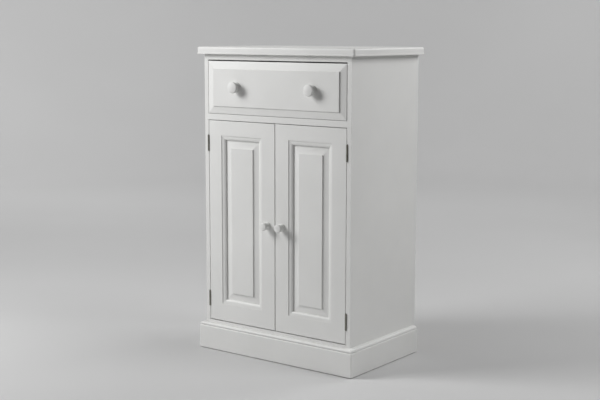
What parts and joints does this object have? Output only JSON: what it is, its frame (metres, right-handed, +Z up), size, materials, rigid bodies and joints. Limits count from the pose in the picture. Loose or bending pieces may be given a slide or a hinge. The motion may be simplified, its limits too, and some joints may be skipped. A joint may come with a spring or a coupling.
{
  "type": "apothecary cabinet",
  "caption": "Upright painted wooden cabinet with a wide drawer above a pair of framed, raised-panel doors, on a moulded plinth with an overhanging top.",
  "frame": {"origin": "on the floor, midway across the width and midway between the drawer knobs' fronts and the top board's back edge", "axes": "+Z up, +Y from the front to the back, +X towards the cabinet's right as its front is looked at"},
  "size_m": [0.622, 0.415, 1.003],
  "materials": {
    "white_paint": "satin off-white paint over wood",
    "bare_pine": "planed bare pine",
    "hinge_steel": "dark bronzed steel",
    "screw_steel": "zinc-plated steel",
    "bright_steel": "nickel-plated steel",
    "catch_plastic": "moulded off-white plastic",
    "magnet": "black ferrite"
  },
  "bodies": {
    "carcass": {"back_board_1": "white_paint", "back_board_2": "white_paint", "back_board_3": "white_paint", "back_board_4": "white_paint", "back_screws": "screw_steel", "bottom_board": "white_paint", "catch_housing": "catch_plastic", "catch_magnets": "magnet", "corner_blocks": "bare_pine", "drawer_kickers": "bare_pine", "drawer_runners": "bare_pine", "drawer_stops": "bare_pine", "frame_hinge_screws": "hinge_steel", "front_top_rail": "white_paint", "left_hinge_frame_leaves": "hinge_steel", "left_hinge_pins": "hinge_steel", "left_plinth_side": "white_paint", "left_side_panel": "white_paint", "mid_rail": "white_paint", "plinth_back_rail": "bare_pine", "plinth_front": "white_paint", "rear_top_rail": "bare_pine", "right_hinge_frame_leaves": "hinge_steel", "right_hinge_pins": "hinge_steel", "right_plinth_side": "white_paint", "right_side_panel": "white_paint", "runner_screws": "screw_steel", "shelf": "white_paint", "shelf_pegs": "bright_steel", "top_board": "white_paint", "top_screws": "screw_steel"},
    "drawer": {"drawer_back": "bare_pine", "drawer_bottom": "bare_pine", "drawer_bottom_screws": "screw_steel", "drawer_front": "white_paint", "drawer_knob_screws": "screw_steel", "left_drawer_knob": "white_paint", "left_drawer_side": "bare_pine", "right_drawer_knob": "white_paint", "right_drawer_side": "bare_pine"},
    "left_door": {"left_door_bottom_rail": "white_paint", "left_door_hinge_screws": "hinge_steel", "left_door_hinge_stile": "white_paint", "left_door_knob": "white_paint", "left_door_knob_screw": "screw_steel", "left_door_meeting_stile": "white_paint", "left_door_panel": "white_paint", "left_door_top_rail": "white_paint", "left_hinge_door_leaves": "hinge_steel", "left_strike_plate": "bright_steel"},
    "right_door": {"right_door_bottom_rail": "white_paint", "right_door_hinge_screws": "hinge_steel", "right_door_hinge_stile": "white_paint", "right_door_knob": "white_paint", "right_door_knob_screw": "screw_steel", "right_door_meeting_stile": "white_paint", "right_door_panel": "white_paint", "right_door_top_rail": "white_paint", "right_hinge_door_leaves": "hinge_steel", "right_strike_plate": "bright_steel"}
  },
  "joints": [
    {"name": "drawer_slide", "type": "slide", "parent": "carcass", "child": "drawer", "axis": [0, -1, 0], "range_m": [0, 0.28]},
    {"name": "left_door_hinge", "type": "hinge", "parent": "carcass", "child": "left_door", "pos_m": [-0.276, -0.1757, 0.43], "axis": [0, 0, -1], "range_deg": [0, 175]},
    {"name": "right_door_hinge", "type": "hinge", "parent": "carcass", "child": "right_door", "pos_m": [0.276, -0.1757, 0.43], "axis": [0, 0, 1], "range_deg": [0, 175]}
  ]
}
